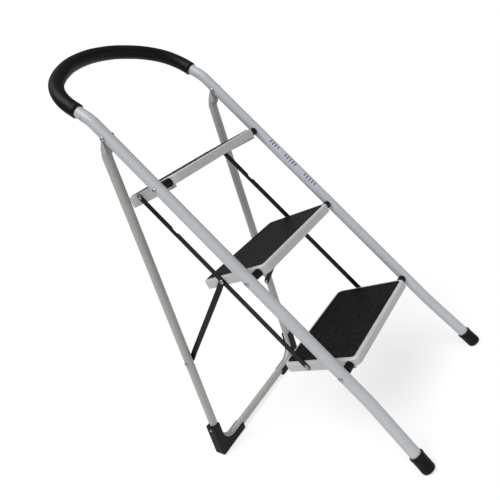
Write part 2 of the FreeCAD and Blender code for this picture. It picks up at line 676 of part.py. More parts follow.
def strut_bar(side):
    """A flat strut, joggled outwards from the link to the support leg."""
    top, foot = link_pivot(1), STRUT_FOOT
    way = (foot - top).normalize()
    across = turn(way, math.pi / 2)
    length = (foot - top).Length
    runs = (-STRUT_WIDTH, STRUT_TAB, length - STRUT_TAB, length + STRUT_WIDTH)
    steps_x = (STRUT_INNER, STRUT_INNER, STRUT_FOOT_INNER, STRUT_FOOT_INNER)
    lower = [top + way * run + X_AXIS * (side * x) for run, x in zip(runs, steps_x)]
    upper = [point + X_AXIS * (side * STRUT_THICKNESS) for point in reversed(lower)]
    corners = [point - across * STRUT_WIDTH for point in lower + upper]
    outline = [Part.LineSegment(a, b).toShape() for a, b in zip(corners, corners[1:] + corners[:1])]
    strip = Part.Face(Part.Wire(outline)).extrude(across * (2 * STRUT_WIDTH))
    edge = plate_x(stadium(top, foot, STRUT_WIDTH / 2), 0, side * 2 * HALF_SPACING)
    holes = [bar_x(top, LINK_PIN_DIAMETER / 2 + RUNNING_FIT, 0, side * 2 * HALF_SPACING)]
    holes.append(bar_x(foot, PIN_DIAMETER / 2 + SEAT_FIT, 0, side * 2 * HALF_SPACING))
    return strip.common(edge).cut(holes)


def strut_stud(side):
    """The formed end of the lower strut rivet, riding in the strut."""
    inner, outer = side * STRUT_FOOT_INNER, side * STRUT_FOOT_OUTER
    return rivet_x(STRUT_FOOT, inner, outer, PIN_DIAMETER, side, outer_head=False)


# ---- assembly -----------------------------------------------------------------------
def build():
    nodes = {"front_tube": front_tube(), "foam_grip": foam_grip(), "rear_tube": rear_tube()}
    nodes["step_rivets"] = step_rivets()
    nodes["pivot_washers"] = pivot_washers()
    nodes["strut_rivets"] = strut_rivets()
    nodes["shoe_rivets"] = Part.Compound([shoe_rivet(side) for name, side in SIDES])
    for name, side in SIDES:
        nodes[name + "_foot_cap"] = foot_cap(side)
        nodes[name + "_hinge_rivet"] = hinge_rivet(side)
        nodes[name + "_hinge_fork"] = hinge_fork(side)
        nodes[name + "_rear_shoe"] = rear_shoe(side)
        nodes[name + "_link_bar"] = link_bar(side)
        nodes[name + "_strut_bar"] = strut_bar(side)
        nodes[name + "_strut_stud"] = strut_stud(side)
        for step, level in enumerate(STEP_NAMES):
            nodes[name + "_" + level + "_spacer"] = spacer(step, side)
    for step, level in enumerate(STEP_NAMES):
        nodes[level + "_step_pan"] = step_pan(step)
        nodes[level + "_step_mat"] = step_mat(step)
        nodes[level + "_step_stiffener"] = step_stiffener(step)
        nodes[level + "_link_rivets"] = link_rivets(step)
    return nodes


def centre_shift(nodes):
    """The move along Y that puts the origin under the middle of the stool."""
    box = Part.Compound(list(nodes.values())).optimalBoundingBox(False, False)
    return FreeCAD.Vector(0, -(box.YMin + box.YMax) / 2, 0)


def main():
    nodes = build()
    shift = centre_shift(nodes)
    for name, shape in nodes.items():
        shape.translate(shift)
        shape.exportStep("parts/" + name + ".step")
    for step, level in enumerate(STEP_NAMES):
        print(level, "step pivot", leg_point(step * STEP_PITCH) + shift, "link pivot", link_pivot(step) + shift)
    print("hinge", HINGE + shift, "strut foot", STRUT_FOOT + shift)
    patch = FreeCAD.Vector(0, CAP_DIAMETER / 4, -CAP_FLOOR_SETBACK)
    print("floor patch", foot_point(CAP_FLOOR_SETBACK, -1) + patch + shift)
    folded_pivot = leg_point(STEP_PITCH) + turn(LINK_ARM_VECTOR, STEP_FOLD)
    folded_foot = HINGE + turn(STRUT_FOOT - HINGE, -OPENING)
    strut_turn = (STRUT_FOOT - link_pivot(1)).getAngle(folded_foot - folded_pivot)
    print("opening", math.degrees(OPENING), "step fold", math.degrees(STEP_FOLD), "strut", math.degrees(strut_turn))


main()
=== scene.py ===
import json
import math

import bmesh
import bpy
from bpy.props import FloatProperty, FloatVectorProperty, IntProperty, PointerProperty
from mathutils import Matrix, Vector


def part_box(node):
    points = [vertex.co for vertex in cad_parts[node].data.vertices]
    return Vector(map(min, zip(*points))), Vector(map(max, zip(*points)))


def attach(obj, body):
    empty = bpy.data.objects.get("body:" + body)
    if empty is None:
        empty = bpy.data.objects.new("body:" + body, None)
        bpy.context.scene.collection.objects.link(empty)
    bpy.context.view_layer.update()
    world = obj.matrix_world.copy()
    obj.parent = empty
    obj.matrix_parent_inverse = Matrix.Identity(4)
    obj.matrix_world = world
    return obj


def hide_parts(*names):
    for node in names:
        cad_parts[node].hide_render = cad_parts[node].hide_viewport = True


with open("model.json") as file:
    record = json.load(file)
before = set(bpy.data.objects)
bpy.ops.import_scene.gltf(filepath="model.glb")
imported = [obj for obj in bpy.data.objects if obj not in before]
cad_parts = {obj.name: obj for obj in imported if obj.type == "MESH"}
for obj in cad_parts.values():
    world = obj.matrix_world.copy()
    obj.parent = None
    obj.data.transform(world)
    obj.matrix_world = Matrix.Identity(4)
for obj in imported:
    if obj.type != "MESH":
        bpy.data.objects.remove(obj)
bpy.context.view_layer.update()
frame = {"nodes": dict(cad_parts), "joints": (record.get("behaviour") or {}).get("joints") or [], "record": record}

bl_info = {
    "name": "Folding Step Stool",
    "version": (1, 0, 0),
    "blender": (4, 5, 0),
    "location": "View3D > Sidebar > Step Stool",
    "description": "Builds the visible pieces of a folding step stool round its fixed frame",
    "category": "Object",
}

SIDES = (("left", -1), ("right", 1))
LEVELS = ("bottom", "middle", "top")
BODY_OF = {node: body for body, nodes in frame["record"]["behaviour"]["bodies"].items() for node in nodes}
PIVOTS = {joint["name"]: Vector(joint["pos_m"]) for joint in frame["joints"]}

# ---- sizes in metres, angles in radians, counts and rates ---------------------------
LEG_LEAN = math.radians(21.5)
HOOP_LEAN = math.radians(37.0)
HALF_SPACING = 0.1855
TUBE_RADIUS = 0.0125
TUBE_SIDES = 48
HOLE_SIDES = 24
SWEEP_STEP = math.radians(3.0)
BEND_ABOVE_HINGE = 0.046
BEND_RADIUS = 0.090
HOOP_STRAIGHT = 0.056
CORNER_RADIUS = 0.115
CROWN_RADIUS = 0.227
FLARE_BELOW_PIVOT = 0.075
FLARE_ANGLE = math.radians(4.2)
FLARE_RADIUS = 0.260
DRAIN_ABOVE_BEND = 0.018
DRAIN_RADIUS = 0.002
DRAIN_BIT = 0.012
CAP_RADIUS = 0.015
CAP_LENGTH = 0.040
CAP_EDGE = 0.006
CAP_RISE = 0.001
CAP_FIT = 0.00006
CAP_CENTRE = 0.004
CAP_GROOVE_START = 0.0105
CAP_GROOVE_PITCH = 0.0032
CAP_GROOVE_WIDTH = 0.0014
CAP_GROOVE_SLOPE = 0.0003
CAP_GROOVE_DEPTH = 0.0005
CAP_COLLAR_HEIGHT = 0.0049
CAP_COLLAR_EDGE = 0.0009
CAP_MOUTH = 0.0006
CAP_FLOOR_GAP = 0.0002
CAP_SIDES = 72
TUBE_END = 0.006
PIN_RADIUS = 0.003
PIN_FIT = 0.00003
SPACER_RADIUS = 0.009
SPACER_EDGE = 0.0009
SPACER_END = 0.0028
SPACER_RIB_SLOPE = 0.00018
GRIP_SIDES = 56
GRIP_STEP = 0.003
GRIP_FIT = 0.0001
GRIP_END_EASE = 0.0025
GRIP_END_ROUND = 0.0022
GRIP_LIP = 0.0006
GRIP_THROAT_RINGS = 6
GRIP_SOFTNESS = 0.00012
GRIP_SOFT_RATE = 97.0
GRIP_CREASE_RATE = 520.0
GRIP_DRIFT = 1.7
GRIP_DRIFT_RATE = 61.0
MAT_CORNER = 0.007
MAT_RIM = 0.0005
MAT_SLOPE = 0.0003
MAT_LIP = 0.0004
LABEL_ALONG = 0.388
LABEL_FACING = math.radians(218.0)
LABEL_SEGMENTS = 180
LABEL_LIFT = 0.00003
LABEL_FILM = 0.0001
OPEN_ANGLE = math.radians(37.2)
FOLDED_ANGLE = math.radians(0.5)
NECK_ANGLE = math.radians(34.0)
NECK_RADIUS = 0.026
FOLDED_OFFSET = 0.0245
FORK_LENGTH = 0.034
FORK_HALF = 0.0147
FORK_FOOT = 0.0106
FORK_LAP = 0.0005
FORK_CORNER_PERCENT = 30
EYE_RADIUS = 0.0065
EYE_ROUNDING = 0.38 * EYE_RADIUS
LEG_ROOM = 0.0131
LEG_ROOM_LENGTH = 0.16
LEG_ROOM_CUTS = 5
LEG_ROOM_SIDES = 64
BAR_HEIGHT = 0.018
REAR_RADIUS = 0.011
REAR_SPLAY = 0.015
REAR_CORNER_RADIUS = 0.058
FOLDED_LEAN = LEG_LEAN - (OPEN_ANGLE - FOLDED_ANGLE)
ROOM_LIGHT = 0.22
FLOOR_GLOW = 0.74
FLOOR_SIZE = 40.0
FLOOR_DROP = 0.0005
WELD_GAP = 1e-6
CAD_WELD_GAP = 2e-6
CAD_FACET_ANGLE = math.radians(0.6)
CAD_SMOOTH_ANGLE = math.radians(32.0)

X_WAY = Vector((1.0, 0.0, 0.0))
LEG_UP = Vector((0.0, math.sin(LEG_LEAN), math.cos(LEG_LEAN)))
HOOP_UP = Vector((0.0, math.sin(HOOP_LEAN), math.cos(HOOP_LEAN)))
HOOP_BACK = Vector((0.0, math.cos(HOOP_LEAN), -math.sin(HOOP_LEAN)))
HOOP_BEND = PIVOTS["rear_frame_hinge"] + LEG_UP * BEND_ABOVE_HINGE
LOW_PIVOT = PIVOTS["bottom_step_hinge"]


# ---- properties ---------------------------------------------------------------------
def length(name, text, default, **more):
    return FloatProperty(name=name, description=text, default=default, min=0.0, unit="LENGTH",
                         precision=4, **more)


def tint(name, text, default):
    return FloatVectorProperty(name=name, description=text, default=default, min=0.0, max=1.0,
                               size=3, subtype="COLOR")


class StoolColours(bpy.types.PropertyGroup):
    frame_paint: tint("Frame paint", "Powder coat of the front frame", (0.385, 0.402, 0.415))
    # Darker than the frame paint as painted shade: the support legs face down, away from the key light.
    support_paint: tint("Support paint", "Powder coat of the support frame", (0.335, 0.333, 0.315))
    tread_paint: tint("Tread paint", "Powder coat of the tread pans", (0.405, 0.413, 0.422))
    foam: tint("Grip foam", "Foam sleeve on the handrail", (0.0014, 0.0014, 0.0016))
    rubber: tint("Rubber", "Foot caps and corner shoes", (0.0038, 0.0038, 0.0042))
    mat: tint("Tread mat", "Anti-slip mats", (0.0042, 0.0042, 0.0041))
    fittings: tint("Black fittings", "Links, struts and spacers", (0.0032, 0.0032, 0.0036))
    zinc: tint("Zinc", "Rivets", (0.34, 0.35, 0.37))
    floor: tint("Floor", "Studio floor", (0.20, 0.20, 0.20))


class StoolSizes(bpy.types.PropertyGroup):
    grip_diameter: length("Grip diameter", "Outside of the foam sleeve", 0.032)
    grip_start: length("Grip start", "Start of the sleeve above the hoop's bend", 0.036)
    grip_crease: length("Grip creases", "Depth of the creases inside the sleeve's bends", 0.00035)
    cap_collar: length("Cap collar", "How far a foot cap's collar stands out", 0.0006)
    cap_grooves: IntProperty(name="Cap grooves", description="Moulded grooves round a foot cap",
                             default=3, min=0, max=6)
    spacer_ribs: IntProperty(name="Spacer ribs", description="Ribs round a spacer", default=18, min=6, max=48)
    rib_depth: length("Rib depth", "Depth between a spacer's ribs", 0.00055)
    mat_setback: length("Mat setback", "How far a mat's edge draws back from its bed", 0.0024)
    mat_border: length("Mat border", "Plain border round a mat's pattern", 0.004)
    mat_ribs: length("Mat rib pitch", "Distance between the ribs of the upper mats", 0.0044)
    label_length: length("Label length", "Length of the label on the right front leg", 0.178)
    label_angle: FloatProperty(name="Label wrap", description="How far the label reaches round the leg",
                               default=math.radians(104.0), subtype="ANGLE")


class StoolStage(bpy.types.PropertyGroup):
    eye: FloatVectorProperty(name="Camera place", description="Where the camera stands",
                             default=(-0.8193, -0.7890, 0.7316), size=3, subtype="TRANSLATION")
    heading: FloatProperty(name="Heading", description="Camera heading from +Y towards +X",
                           default=math.radians(45.105), subtype="ANGLE")
    tilt: FloatProperty(name="Tilt", description="Camera tilt above the horizon",
                        default=math.radians(-12.959), subtype="ANGLE")
    roll: FloatProperty(name="Roll", description="Camera roll about its own axis",
                        default=math.radians(-29.687), subtype="ANGLE")
    lens: FloatProperty(name="Lens", description="Focal length on a 36 mm sensor",
                        default=35.23, min=5.0)


# ---- shader maths -------------------------------------------------------------------
class Sock:
    """A socket or a number that adds Math nodes when it is used in an expression."""

    def __init__(self, recipe, socket):
        self.recipe = recipe
        self.socket = socket

    def math(self, operation, *others):
        values = [self] + list(others)
        return self.recipe.node("ShaderNodeMath", {"operation": operation}, dict(enumerate(values)))

    def __add__(self, other):
        return self.math("ADD", other)

    __radd__ = __add__

    def __mul__(self, other):
        return self.math("MULTIPLY", other)

    __rmul__ = __mul__

    def __sub__(self, other):
        return self.math("SUBTRACT", other)

    def __rsub__(self, other):
        return self * -1 + other

    def power(self, exponent):
        return self.math("POWER", exponent)

    def greater(self, limit):
        return self.math("GREATER_THAN", limit)


class Recipe:
    """One material and the nodes that make its finish."""

    def __init__(self, name):
        self.material = bpy.data.materials.new(name)
        self.use(self.material, "Principled BSDF")

    def use(self, owner, shader):
        owner.use_nodes = True
        self.tree = owner.node_tree
        self.shader = self.tree.nodes[shader]

    def put(self, socket, value):
        if isinstance(value, Sock):
            self.tree.links.new(value.socket, socket)
        elif socket.type == "RGBA" and len(value) == 3:
            socket.default_value = (*value, 1.0)
        else:
            socket.default_value = value

    def node(self, kind, settings=None, inputs=None, output=0):
        made = self.tree.nodes.new(kind)
        for name, value in (settings or {}).items():
            setattr(made, name, value)
        for name, value in (inputs or {}).items():
            self.put(made.inputs[name], value)
        return Sock(self, made.outputs[output])

    def place(self):
        return self.node("ShaderNodeTexCoord", output="Object")

    def noise(self, scale, detail=3.0, roughness=0.5):
        inputs = {"Vector": self.place(), "Scale": scale, "Detail": detail, "Roughness": roughness}
        return self.node("ShaderNodeTexNoise", None, inputs)

    def cells(self, scale):
        return self.node("ShaderNodeTexVoronoi", None, {"Vector": self.place(), "Scale": scale})

    def blend(self, factor, first, second):
        inputs = {0: factor, 6: first, 7: second}
        return self.node("ShaderNodeMix", {"data_type": "RGBA"}, inputs, output=2)

    def set(self, **values):
        for name, value in values.items():
            self.put(self.shader.inputs[name.replace("_", " ")], value)

    def bump(self, height, distance, strength=1.0):
        inputs = {"Height": height, "Distance": distance, "Strength": strength}
        self.set(Normal=self.node("ShaderNodeBump", None, inputs))


class Room(Recipe):
    """The world and the nodes that light the scene."""

    def __init__(self, world):
        self.use(world, "Background")


def shade(colour, factor):
    """A colour made lighter or darker by a factor."""
    return tuple(min(1.0, channel * factor) for channel in colour)


# ---- finishes -----------------------------------------------------------------------
def powder_coat(name, colour, gloss=0.44):
    """Satin powder coat with a fine orange peel and faint handling marks."""
    paint = Recipe(name)
    blotch = paint.noise(9.0, 4.0)
    speck = paint.noise(900.0, 2.0)
    tone = paint.blend(blotch, shade(colour, 0.955), shade(colour, 1.03))
    paint.set(Base_Color=paint.blend(speck.greater(0.72) * 0.35, tone, shade(colour, 0.86)))
    paint.set(Roughness=blotch * 0.16 + (gloss - 0.08), IOR=1.5)
    paint.bump(paint.noise(420.0, 2.0, 0.4) + speck * 0.25, 0.00003, 0.12)
    return paint.material


def grip_foam(name, colour):
    """Closed-cell foam: matt black skin with tiny open cells and faint scuffs."""
    foam = Recipe(name)
    cells = foam.cells(1500.0)
    scuff = foam.noise(26.0, 5.0, 0.6)
    foam.set(Base_Color=foam.blend(scuff, shade(colour, 0.7), shade(colour, 2.2)))
    foam.set(Roughness=scuff * 0.2 + 0.36)
    foam.set(Specular_IOR_Level=0.14)
    foam.bump(cells * 0.6 + foam.noise(420.0, 4.0) * 0.8, 0.00035, 0.6)
    return foam.material


def moulded_rubber(name, colour):
    """Moulded black rubber with a spark-eroded grain and dusty high spots."""
    rubber = Recipe(name)
    dust = rubber.noise(38.0, 5.0, 0.65)
    grain = rubber.noise(1300.0, 2.0)
    rubber.set(Base_Color=rubber.blend(dust.power(3.0), shade(colour, 0.85), shade(colour, 2.6)))
    rubber.set(Roughness=dust * 0.22 + 0.42)
    rubber.set(Specular_IOR_Level=0.14)
    rubber.bump(grain, 0.0002, 0.5)
    return rubber.material


def black_paint(name, colour):
    """Semi-gloss black paint on flat steel and plastic."""
    paint = Recipe(name)
    haze = paint.noise(60.0, 4.0)
    paint.set(Base_Color=paint.blend(haze, colour, shade(colour, 1.8)))
    paint.set(Roughness=haze * 0.2 + 0.3)
    paint.set(Specular_IOR_Level=0.16)
    paint.bump(paint.noise(700.0, 2.0), 0.00015, 0.4)
    return paint.material


def zinc_plate(name, colour):
    """Bright zinc on rivet heads, with fine turning marks and dull patches."""
    zinc = Recipe(name)
    dull = zinc.noise(300.0, 3.0)
    zinc.set(Base_Color=zinc.blend(dull, shade(colour, 0.8), shade(colour, 1.15)))
    zinc.set(Metallic=1.0, Roughness=dull * 0.25 + 0.24)
    zinc.bump(zinc.noise(2400.0, 1.0), 0.0001, 0.3)
    return zinc.material


def pebbled_mat(name, colour):
    """Embossed leather-like pebbles, their tops painted lighter as painted highlight and the hollows between them
    painted darker as painted shade, with a soft shine from lower roughness on their tops.
    """
    mat = Recipe(name)
    warp = mat.noise(70.0, 3.0)
    cells = mat.cells(95.0)
    fine = mat.noise(900.0, 3.0)
    worn = mat.noise(16.0, 5.0, 0.6)
    # Painted highlight and painted shade: the colour is lighter on the pebble tops and darker in the hollows,
    # following the bump.
    mat.set(Base_Color=mat.blend(cells * 0.85 + fine * 0.15, shade(colour, 2.4), shade(colour, 0.2)))
    mat.set(Roughness=worn * 0.22 + cells * 0.12 + 0.34)
    mat.set(Specular_IOR_Level=0.14)
    mat.bump((1 - cells) * 0.9 + fine * 0.15 + warp * 0.3, 0.0022, 0.9)
    return mat.material


def ribbed_mat(name, colour, pitch):
    """Fine ribs from the front of the tread to its back, every third groove deeper, over a faint pebble; the rib
    tops are painted lighter as painted highlight and the grooves darker as painted shade.
    """
    mat = Recipe(name)
    apart = mat.node("ShaderNodeSeparateXYZ", None, {"Vector": mat.place()}, output=0)
    wave = (apart * (math.tau / pitch)).math("SINE")
    group = (apart * (math.tau / (3 * pitch))).math("SINE")
    crest = (wave * 0.15 + group * 0.35 + 0.5).power(1.2)
    fine = mat.noise(850.0, 3.0)
    worn = mat.noise(16.0, 5.0, 0.6)
    # Painted highlight and painted shade: the colour is lighter on the rib tops and darker in the grooves,
    # following the bump.
    mat.set(Base_Color=mat.blend(crest * 0.8 + fine * 0.2, shade(colour, 0.12), shade(colour, 2.9)))
    mat.set(Roughness=worn * 0.22 + 0.34)
    mat.set(Specular_IOR_Level=0.14)
    mat.bump(crest + fine * 0.2, 0.0011, 0.9)
    return mat.material


def label_sheet(name, middle):
    """Pale film with a few plain dark bars of different widths along it."""
    sheet = Recipe(name)
    inputs = {"Vector": sheet.place(), "Location": middle, "Rotation": (-LEG_LEAN, 0.0, 0.0)}
    local = sheet.node("ShaderNodeMapping", {"vector_type": "TEXTURE"}, inputs)
    across = sheet.node("ShaderNodeSeparateXYZ", None, {"Vector": local}, output=0)
    along = sheet.node("ShaderNodeSeparateXYZ", None, {"Vector": local}, output=2)
    bars_per_metre = 118.0
    row = along * bars_per_metre + 40.0
    cell = row.math("FRACT")
    which = row.math("FLOOR")
    share = (which * 12.9898).math("SINE").math("ABSOLUTE")
    band = (across + 0.0052).math("ABSOLUTE")
    bars = cell.greater(0.25) * (1 - cell.greater(0.62)) * share.greater(0.5)
    inside = 1 - along.math("ABSOLUTE").greater(0.083)
    mark = bars * inside * (1 - band.greater(share * 0.0035 + 0.0015))
    grain = sheet.noise(500.0, 2.0)
    film = sheet.blend(grain, (0.405, 0.415, 0.475), (0.425, 0.435, 0.495))
    sheet.set(Base_Color=sheet.blend(mark * 0.9, film, (0.03, 0.045, 0.17)), Roughness=0.3)
    return sheet.material


def studio_floor(name, colour):
    """Plain pale floor."""
    floor = Recipe(name)
    floor.set(Base_Color=colour, Roughness=0.85, Emission_Color=(1.0, 1.0, 1.0), Emission_Strength=FLOOR_GLOW)
    return floor.material


FINISHES = {
    "frame_paint": powder_coat,
    "support_paint": powder_coat,
    "tread_paint": powder_coat,
    "grip_foam": grip_foam,
    "black_rubber": moulded_rubber,
    "tread_rubber": pebbled_mat,
    "black_fittings": black_paint,
    "rivet_steel": zinc_plate,
}
COLOUR_OF = {
    "frame_paint": "frame_paint",
    "support_paint": "support_paint",
    "tread_paint": "tread_paint",
    "grip_foam": "foam",
    "black_rubber": "rubber",
    "tread_rubber": "mat",
    "black_fittings": "fittings",
    "rivet_steel": "zinc",
}


def finish(slot):
    """The material of a slot, made once."""
    found = bpy.data.materials.get("stool_" + slot)
    if found:
        return found
    colours = bpy.context.scene.stool_colours
    colour = tuple(getattr(colours, COLOUR_OF[slot]))
    return FINISHES[slot]("stool_" + slot, colour)


def upper_mat():
    """The ribbed material of the two upper mats, made once."""
    name = "stool_ribbed_mat"
    scene = bpy.context.scene
    found = bpy.data.materials.get(name)
    return found or ribbed_mat(name, tuple(scene.stool_colours.mat), scene.stool_sizes.mat_ribs)


def dress(piece, slot, material=None):
    """Gives a piece the finish made for its record slot, or the material given in its place."""
    piece.data.materials.clear()
    piece.data.materials.append(material or finish(slot))


# ---- modelling ----------------------------------------------------------------------
def begin():
    """Leaves nothing selected, so that a tool acts only on the new piece."""
    if bpy.context.object and bpy.context.object.mode != "OBJECT":
        bpy.ops.object.mode_set(mode="OBJECT")
    bpy.ops.object.select_all(action="DESELECT")


def edit(piece):
    """Goes into edit mode on one piece."""
    begin()
    piece.select_set(True)
    bpy.context.view_layer.objects.active = piece
    bpy.ops.object.mode_set(mode="EDIT")


def pick(piece, test, kind="FACE"):
    """Selects the faces, edges or vertices of the piece in edit mode that pass the test."""
    bpy.ops.mesh.select_mode(type=kind)
    bpy.ops.mesh.select_all(action="DESELECT")
    mesh = bmesh.from_edit_mesh(piece.data)
    parts = {"FACE": mesh.faces, "EDGE": mesh.edges, "VERT": mesh.verts}[kind]
    for part in parts:
        if test(part):
            part.select_set(True)
    mesh.select_flush_mode()
    bmesh.update_edit_mesh(piece.data)


def centre(part):
    """The middle of an edge or a face."""
    return sum((vertex.co for vertex in part.verts), Vector()) / len(part.verts)


def apply_modifier(piece, kind, **settings):
    """Adds a modifier and applies it."""
    begin()
    piece.select_set(True)
    bpy.context.view_layer.objects.active = piece
    modifier = piece.modifiers.new(kind.lower(), kind)
    for name, value in settings.items():
        setattr(modifier, name, value)
    bpy.ops.object.modifier_apply(modifier=modifier.name)


def close(piece, angle=35.0):
    """Leaves edit mode with outward normals, soft shading and the place in the mesh."""
    bpy.ops.mesh.select_mode(type="FACE")
    bpy.ops.mesh.select_all(action="SELECT")
    bpy.ops.mesh.remove_doubles(threshold=WELD_GAP)
    bpy.ops.mesh.normals_make_consistent(inside=False)
    bpy.ops.object.mode_set(mode="OBJECT")
    bpy.ops.object.transform_apply(location=True, rotation=True, scale=True)
    bpy.ops.object.shade_smooth_by_angle(angle=math.radians(angle))
    return piece


def turned(name, profile, segments):
    """A piece turned about Z: rings of (height, radius) from one end round to the other."""
    begin()
    height, radius = profile[0]
    bpy.ops.mesh.primitive_circle_add(vertices=segments, radius=radius, fill_type="NGON",
                                      location=(0.0, 0.0, height))
    piece = bpy.context.object
    piece.name = name
    bpy.ops.object.transform_apply(location=True, rotation=True, scale=True)
    edit(piece)
    bpy.ops.mesh.select_all(action="SELECT")
    for (low, inner), (high, outer) in zip(profile, profile[1:]):
        bpy.ops.mesh.extrude_region_move(TRANSFORM_OT_translate={"value": (0.0, 0.0, high - low)})
        grow = outer / inner
        bpy.ops.transform.resize(value=(grow, grow, 1.0), center_override=(0.0, 0.0, high))
    return piece


def stand(piece, place, way):
    """Puts a piece turned about Z on its axis."""
    bpy.ops.object.mode_set(mode="OBJECT")
    piece.matrix_world = Matrix.Translation(place) @ way.to_track_quat("Z", "Y").to_matrix().to_4x4()
    bpy.ops.object.transform_apply(location=True, rotation=True, scale=True)
    edit(piece)


def rounded(centre_height, centre_radius, bend, first, last, steps):
    """Rings of a quarter-round, from one angle to another, as (height, radius)."""
    rings = []
    for step in range(steps + 1):
        angle = math.radians(first + (last - first) * step / steps)
        rings.append((centre_height + bend * math.sin(angle), centre_radius + bend * math.cos(angle)))
    return rings


def mirrored(way):
    """A way on the right side seen on the left."""
    return Vector((-way.x, way.y, way.z))


def hoop_sink():
    """How far the crown's centre lies below the hoop's corners."""
    reach = CROWN_RADIUS - CORNER_RADIUS
    return math.sqrt(reach ** 2 - (HALF_SPACING - CORNER_RADIUS) ** 2)


def swept(name, radius, start, way, moves):
    """A bent tube: each move is (length,) to run straight or (radius, way) to bend round to a way."""
    begin()
    turn = way.to_track_quat("Z", "Y").to_euler()
    bpy.ops.mesh.primitive_circle_add(vertices=TUBE_SIDES, radius=radius, location=start, rotation=turn)
    piece = bpy.context.object
    piece.name = name
    bpy.ops.object.transform_apply(location=True, rotation=True, scale=True)
    edit(piece)
    bpy.ops.mesh.select_all(action="SELECT")
    here = start.copy()
    for move in moves:
        if len(move) == 1:
            step = way * move[0]
            bpy.ops.mesh.extrude_region_move(TRANSFORM_OT_translate={"value": step})
            here += step
            continue
        bend, out = move
        inward = (out - way * way.dot(out)).normalized()
        angle = way.angle(out)
        middle = here + inward * bend
        axis = way.cross(inward)
        steps = max(3, round(angle / SWEEP_STEP))
        bpy.ops.mesh.spin(steps=steps, angle=-angle, center=middle, axis=axis)
        here = middle - (inward * math.cos(angle) - way * math.sin(angle)) * bend
        way = out
    bpy.ops.mesh.select_all(action="SELECT")
    bpy.ops.mesh.remove_doubles(threshold=WELD_GAP)
    bpy.ops.mesh.fill_holes(sides=0)
    return close(piece)


def bore(piece, place, turn, radius, depth, sides):
    """Takes a round bar, centred on a place, out of a piece."""
    begin()
    bpy.ops.mesh.primitive_cylinder_add(vertices=sides, radius=radius, depth=depth,
                                        location=place, rotation=turn)
    bit = bpy.context.object
    apply_modifier(piece, "BOOLEAN", object=bit, operation="DIFFERENCE", solver="EXACT")
    bpy.data.objects.remove(bit)


def clear_leg(piece, side, leans):
    """Cuts the room that a front leg needs at each lean of its swing."""
    hinge = PIVOTS["rear_frame_hinge"] + X_WAY * (side * HALF_SPACING)
    for lean in leans:
        bore(piece, hinge, (-lean, 0.0, 0.0), LEG_ROOM, LEG_ROOM_LENGTH, LEG_ROOM_SIDES)


def copied(pattern, name):
    """A copy of a modelled piece with its own mesh, selected and active."""
    begin()
    piece = bpy.data.objects.new(name, pattern.data.copy())
    bpy.context.collection.objects.link(piece)
    piece.select_set(True)
    bpy.context.view_layer.objects.active = piece
    return piece


def soft_copy(node):
    """A copy of a frame part with its facets joined."""
    begin()
    piece = bpy.data.objects.new(node + "_part", frame["nodes"][node].data.copy())
    bpy.context.collection.objects.link(piece)
    edit(piece)
    bpy.ops.mesh.select_all(action="SELECT")
    bpy.ops.mesh.remove_doubles(threshold=CAD_WELD_GAP)
    bpy.ops.mesh.dissolve_limited(angle_limit=CAD_FACET_ANGLE)
    bpy.ops.object.mode_set(mode="OBJECT")
    bpy.ops.object.shade_smooth_by_angle(angle=CAD_SMOOTH_ANGLE)
    return piece


def foot_axis(side):
    """The end centre of a splayed foot and the way up its axis."""
    bend = LOW_PIVOT - LEG_UP * FLARE_BELOW_PIVOT + Vector((side * HALF_SPACING, 0.0, 0.0))
    down = LEG_UP * -math.cos(FLARE_ANGLE) + Vector((side * math.sin(FLARE_ANGLE), 0.0, 0.0))
    end = bend + down * ((CAP_RISE - bend.z) / down.z)
    return end, -down


def hoop_point(x, rise):
    """A point in the hoop's plane, at a height above its bend."""
    return HOOP_BEND + HOOP_UP * rise + Vector((x, 0.0, 0.0))


def hoop_path(start, step):
    """Stops on the sleeve's centre line, from the right end to the left.

    Each is (point, inward way, distance from the right end, full distance, turn round the hoop).
    """
    corner_x = HALF_SPACING - CORNER_RADIUS
    sink = hoop_sink()
    share = math.atan2(sink, corner_x)
    crown = math.pi - 2 * share
    runs = (HOOP_STRAIGHT - start, CORNER_RADIUS * share, CROWN_RADIUS * crown)
    total = 2 * runs[0] + 2 * runs[1] + runs[2]
    count = round(total / step)
    path = []
    for index in range(count + 1):
        along = total * index / count
        near_end = min(along, total - along)
        sign = 1 if along <= total / 2 else -1
        if near_end < runs[0]:
            x, rise, turn = HALF_SPACING, start + near_end, 0.0
        elif near_end < runs[0] + runs[1]:
            turn = (near_end - runs[0]) / CORNER_RADIUS
            x = corner_x + CORNER_RADIUS * math.cos(turn)
            rise = HOOP_STRAIGHT + CORNER_RADIUS * math.sin(turn)
        else:
            turn = share + (near_end - runs[0] - runs[1]) / CROWN_RADIUS
            x = CROWN_RADIUS * math.cos(turn)
            rise = HOOP_STRAIGHT - sink + CROWN_RADIUS * math.sin(turn)
        inward = Vector((-sign * math.cos(turn), 0.0, 0.0)) - HOOP_UP * math.sin(turn)
        path.append((hoop_point(sign * x, rise), inward, along, total, turn))
    return path


